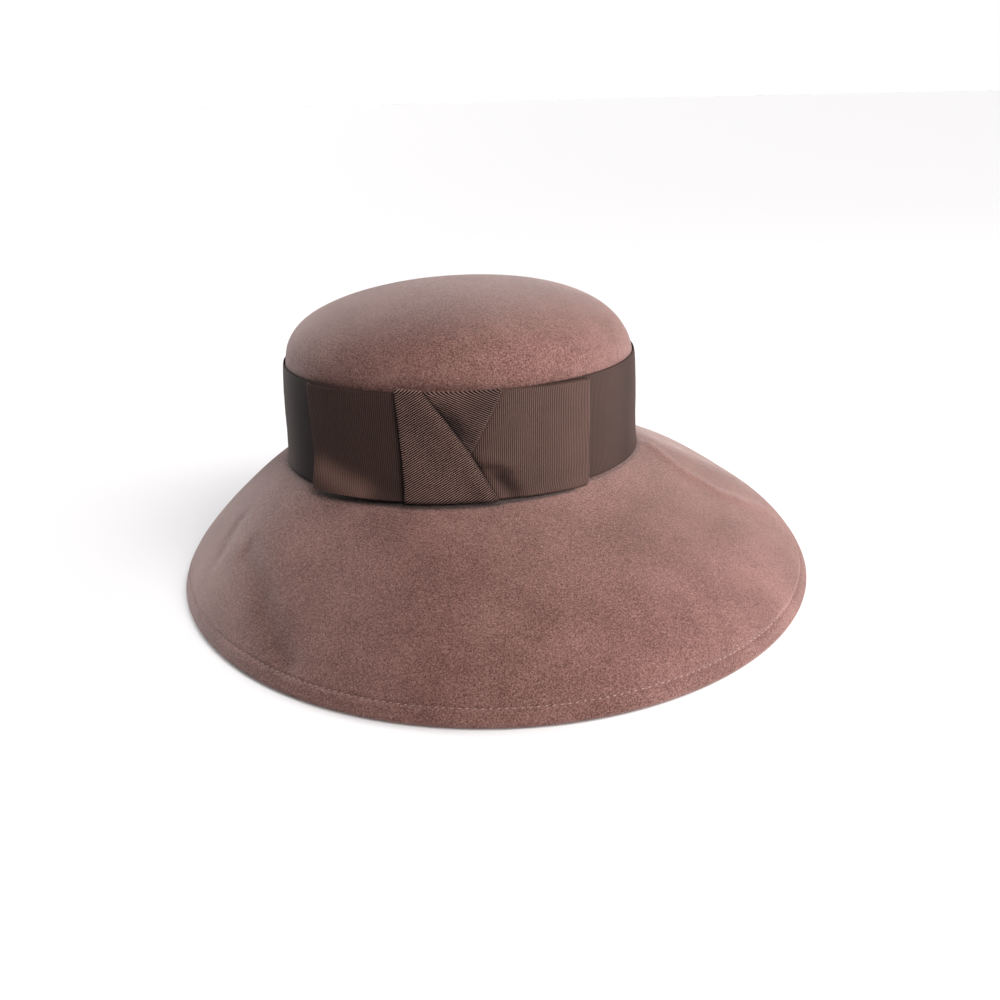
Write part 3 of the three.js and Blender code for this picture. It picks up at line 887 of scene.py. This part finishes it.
def shadeFelt(piece):
    count = len(piece.data.vertices)
    spots = np.empty(count * 3)
    piece.data.vertices.foreach_get("co", spots)
    x, y, z = spots.reshape(-1, 3).T
    halfLength, halfWidth, middle, _ = crownOval(np.array([float(crownFoot)]))
    halfLength, halfWidth = halfLength + ribbon["base"], halfWidth + ribbon["base"]
    azimuth = np.arctan2(y / halfWidth, (x - middle) / halfLength) % fullTurn
    scale = np.hypot((x - middle) / halfLength, y / halfWidth)
    off = (scale - 1) * np.hypot(halfLength * np.cos(azimuth), halfWidth * np.sin(azimuth))
    along = (np.interp(azimuth, planAngle, planRun) - bowStart + girth / 2) % girth - girth / 2
    outerRows = feltMesh["crownRows"] + feltMesh["brimRows"] + feltMesh["hemRows"] - 3
    outer = np.arange(count) < 1 + feltMesh["columns"] * outerRows
    near = outer & (z > footShade["lowest"]) & (z < ribbon["foot"] + footShade["above"])
    loopOff, underKnot = footShade["loopOff"], footShade["knotOff"]
    edge = np.interp(along / mm, [-26, -24, 22, 24], [loopOff, underKnot, underKnot, loopOff])
    fromMiddle = np.abs(along - footShade["bowMiddle"])
    inside = np.clip((footShade["bowReach"] - fromMiddle) / footShade["endFade"], 0, 1)
    beyond = np.clip(off - edge, 0, None) / footShade["fade"]
    shade = 1 - footShade["bowDepth"] * inside * np.exp(-beyond ** 2)
    fromBand = np.clip(off, 0, None) / footShade["bandFade"]
    shade = shade * (1 - footShade["bandDepth"] * np.exp(-fromBand ** 2))
    shade = np.where(near, shade, 1)
    # painted shade in the brim's creases and a painted highlight along its ridge
    for crease in brimCreases:
        away = pathDistance(x, y, crease["path"]) / (crease["width"] * mm)
        shade = shade * (1 - crease["shade"] * np.exp(-away ** 2) * outer)
    paintedShadeValues = shade.astype(np.float32)
    piece.data.attributes.new("shade", "FLOAT", "POINT").data.foreach_set("value", paintedShadeValues)


shadeFelt(felt)
print("felt shaded by the ribbon's foot")

# Seam that holds the turned-in hem: one run of machine stitches on top and one underneath
stitch = {
    "pitch": 0.00355,
    "length": 0.0024,
    "thickness": 0.0004,
    "sink": 0.0001,
    "dark": (0.36, 0.25, 0.23),
    "light": (0.62, 0.47, 0.43),
}


def threadMaterial():
    material, tree, shader = newMaterial("hem_thread")
    place = addNode(tree, "ShaderNodeTexCoord").outputs["Object"]
    twist = addNode(tree, "ShaderNodeTexNoise", {"Vector": place, "Scale": 2400.0, "Detail": 2.0})
    colour = rampNode(tree, twist.outputs["Fac"], [(0.3, stitch["dark"]), (0.7, stitch["light"])])
    tree.links.new(colour, shader.inputs["Base Color"])
    shader.inputs["Roughness"].default_value = 0.6
    return material


hemThread = threadMaterial()
stitchTree, stitchInput = newTree("hemStitches", {
    "Pitch": "Float", "Length": "Float", "Thickness": "Float", "Sink": "Float", "Material": "Material"})
seamCurve = addNode(stitchTree, "GeometryNodeMeshToCurve", {"Mesh": stitchInput["Geometry"]})
evenSeam = addNode(stitchTree, "GeometryNodeResampleCurve", {
    "Curve": seamCurve.outputs[0], "Length": stitchInput["Pitch"]}, mode="LENGTH")
tangent = addNode(stitchTree, "GeometryNodeInputTangent")
seamUp = addNode(stitchTree, "GeometryNodeInputNamedAttribute", {"Name": "up"}, data_type="FLOAT_VECTOR")
lean = addNode(stitchTree, "FunctionNodeAxesToRotation", {
    "Primary Axis": seamUp.outputs["Attribute"], "Secondary Axis": tangent.outputs[0]},
    primary_axis="Z", secondary_axis="X")
aheadLength = addNode(stitchTree, "ShaderNodeMath", {0: stitchInput["Length"], 1: 0.5}, operation="MULTIPLY")
backLength = addNode(stitchTree, "ShaderNodeMath", {0: stitchInput["Length"], 1: -0.5}, operation="MULTIPLY")
sinkDown = addNode(stitchTree, "ShaderNodeMath", {0: stitchInput["Sink"], 1: -4.0}, operation="MULTIPLY")
startSpot = addNode(stitchTree, "ShaderNodeCombineXYZ", {
    "X": backLength.outputs[0], "Z": sinkDown.outputs[0]})
endSpot = addNode(stitchTree, "ShaderNodeCombineXYZ", {
    "X": aheadLength.outputs[0], "Z": sinkDown.outputs[0]})
topSpot = addNode(stitchTree, "ShaderNodeCombineXYZ", {"Z": stitchInput["Thickness"]})
threadArc = addNode(stitchTree, "GeometryNodeCurveQuadraticBezier", {
    "Resolution": 6, "Start": startSpot.outputs[0], "Middle": topSpot.outputs[0], "End": endSpot.outputs[0]})
halfThick = addNode(stitchTree, "ShaderNodeMath", {0: stitchInput["Thickness"], 1: 0.5}, operation="MULTIPLY")
threadRound = addNode(stitchTree, "GeometryNodeCurvePrimitiveCircle", {
    "Resolution": 6, "Radius": halfThick.outputs[0]})
threadBody = addNode(stitchTree, "GeometryNodeCurveToMesh", {
    "Curve": threadArc.outputs[0], "Profile Curve": threadRound.outputs[0], "Fill Caps": True})
smoothThread = addNode(stitchTree, "GeometryNodeSetShadeSmooth", {"Geometry": threadBody.outputs[0]})
turnAngle = addNode(stitchTree, "FunctionNodeRandomValue", {
    "Min": (0.0, 0.0, 0.03), "Max": (0.0, 0.0, 0.24), "Seed": 4}, data_type="FLOAT_VECTOR")
stitched = addNode(stitchTree, "GeometryNodeInstanceOnPoints", {
    "Points": evenSeam.outputs[0], "Instance": smoothThread.outputs[0], "Rotation": lean.outputs[0]})
slanted = addNode(stitchTree, "GeometryNodeRotateInstances", {
    "Instances": stitched.outputs[0], "Rotation": turnAngle.outputs[0]})
endTree(stitchTree, slanted.outputs[0], stitchInput["Material"])


def makeSeam(name, path, up):
    mesh = bpy.data.meshes.new(name)
    count = len(path)
    mesh.from_pydata(path.tolist(), [(k, (k + 1) % count) for k in range(count)], [])
    outward = mesh.attributes.new("up", "FLOAT_VECTOR", "POINT")
    outward.data.foreach_set("vector", up.astype(np.float32).ravel())
    piece = bpy.data.objects.new(name, mesh)
    bpy.context.collection.objects.link(piece)
    return applyTree(piece, stitchTree, {
        "Pitch": stitch["pitch"], "Length": stitch["length"], "Thickness": stitch["thickness"],
        "Sink": stitch["sink"], "Material": hemThread})


seamAzimuth = np.arange(1440) / 1440 * fullTurn
seamPlace = hemPlaces(hat["hemWidth"], seamAzimuth)
seamNormal = feltNormal(seamPlace, seamAzimuth)
seamTop = feltPoint(seamPlace, seamAzimuth) + seamNormal * grooveLift(hat["hemWidth"])
seamUnder = feltPoint(seamPlace, seamAzimuth) - seamNormal * hat["thickness"] * 1.98
topSeam = makeSeam("hem_stitches_top", seamTop, seamNormal)
underSeam = makeSeam("hem_stitches_under", seamUnder, -seamNormal)
print("stitches made", len(topSeam.data.polygons), len(underSeam.data.polygons))

# Camera at the photo's angle: where it stands, how far it looks down, and its small turns
camera = {
    "spot": (-0.0818, -0.5365, 0.261),
    "pitch": 0.402,
    "roll": -0.025,
    "yaw": 0.158,
    "focal": 0.964,
}
cameraData = bpy.data.cameras.new("photo_camera")
cameraData.sensor_width = 36
cameraData.lens = camera["focal"] * cameraData.sensor_width
cameraData.clip_start, cameraData.clip_end = 0.01, 50
cameraObject = bpy.data.objects.new("photo_camera", cameraData)
bpy.context.collection.objects.link(cameraObject)
cosRoll, sinRoll = math.cos(camera["roll"]), math.sin(camera["roll"])
sight = Vector((0, math.cos(camera["pitch"]), -math.sin(camera["pitch"])))
rise = Vector((0, math.sin(camera["pitch"]), math.cos(camera["pitch"])))
aside = Vector((1, 0, 0))
axes = Matrix((aside * cosRoll + rise * sinRoll, rise * cosRoll - aside * sinRoll, -sight)).transposed()
turnBack = Matrix.Rotation(-camera["yaw"], 3, "Z")
cameraObject.matrix_world = Matrix.Translation(camera["spot"]) @ (turnBack @ axes).to_4x4()
bpy.context.scene.camera = cameraObject

# Plain pale floor and soft studio light
bpy.ops.mesh.primitive_circle_add(vertices=96, radius=25, fill_type="NGON", location=(0, 0, -0.0004))
floor = bpy.context.object
floor.name = "floor"
floorMaterial, floorTree, floorShader = newMaterial("pale_floor")
floorShader.inputs["Base Color"].default_value = (0.80, 0.81, 0.82, 1)
floorShader.inputs["Roughness"].default_value = 0.9
floorShader.inputs["Emission Strength"].default_value = 0.13  # keeps the far floor as pale as the near
floor.data.materials.append(floorMaterial)

studio = {"fill": 0.02, "fillColour": (0.9, 0.95, 1.0, 1), "backdrop": (1, 1, 1, 1)}
world = bpy.data.worlds.new("studio")
bpy.context.scene.world = world
world.use_nodes = True
worldTree = world.node_tree
fillLight = worldTree.nodes["Background"]
fillLight.inputs["Color"].default_value = studio["fillColour"]
fillLight.inputs["Strength"].default_value = studio["fill"]
backdrop = addNode(worldTree, "ShaderNodeBackground", {"Color": studio["backdrop"], "Strength": 1.0})
seen = addNode(worldTree, "ShaderNodeLightPath").outputs["Is Camera Ray"]
worldMix = addNode(worldTree, "ShaderNodeMixShader", {
    0: seen, 1: fillLight.outputs[0], 2: backdrop.outputs[0]})
worldTree.links.new(worldMix.outputs[0], worldTree.nodes["World Output"].inputs["Surface"])

# A light with a distance is a big soft lamp that close, and the others are far off
lights = [
    {"name": "near lamp", "azimuth": -20, "elevation": 18, "softness": 30, "strength": 3.45,
     "colour": (1.0, 0.95, 0.94), "distance": 0.75},
    {"name": "high key", "azimuth": -45, "elevation": 50, "softness": 40, "strength": 2.85,
     "colour": (1.0, 0.95, 0.94)},
    {"name": "back", "azimuth": 122, "elevation": 21, "softness": 40, "strength": 3.15,
     "colour": (0.97, 0.97, 0.98)},
]
for light in lights:
    distance = light.get("distance")
    data = bpy.data.lights.new(light["name"], "POINT" if distance else "SUN")
    data.color = light["colour"]
    if distance:
        data.energy = light["strength"] * 4 * math.pi * distance ** 2
        data.shadow_soft_size = distance * math.tan(math.radians(light["softness"] / 2))
    else:
        data.energy = light["strength"]
        data.angle = math.radians(light["softness"])
    lamp = bpy.data.objects.new(light["name"], data)
    bpy.context.collection.objects.link(lamp)
    azimuth, elevation = math.radians(light["azimuth"]), math.radians(light["elevation"])
    toLight = Vector((math.cos(azimuth) * math.cos(elevation), math.sin(azimuth) * math.cos(elevation),
                      math.sin(elevation)))
    lamp.location = toLight * (distance or 2)
    lamp.visible_camera = False
    lamp.rotation_euler = toLight.to_track_quat("Z", "Y").to_euler()
bpy.context.scene.view_settings.view_transform = "Standard"
print("camera, floor and lights placed")

standsFor = [
    (felt, "felt_body", "felt"),
    (band, "band", "ribbon"),
    (leftLoop, "bow_left_loop", "ribbon"),
    (rightLoop, "bow_right_loop", "ribbon"),
    (knotRibbon, "bow_knot", "ribbon"),
    (foldRibbon, "bow_fold", "ribbon"),
]
for piece, node, slot in standsFor:
    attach(piece, "root")
    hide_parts(node)
for piece in (topSeam, underSeam):
    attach(piece, "root")
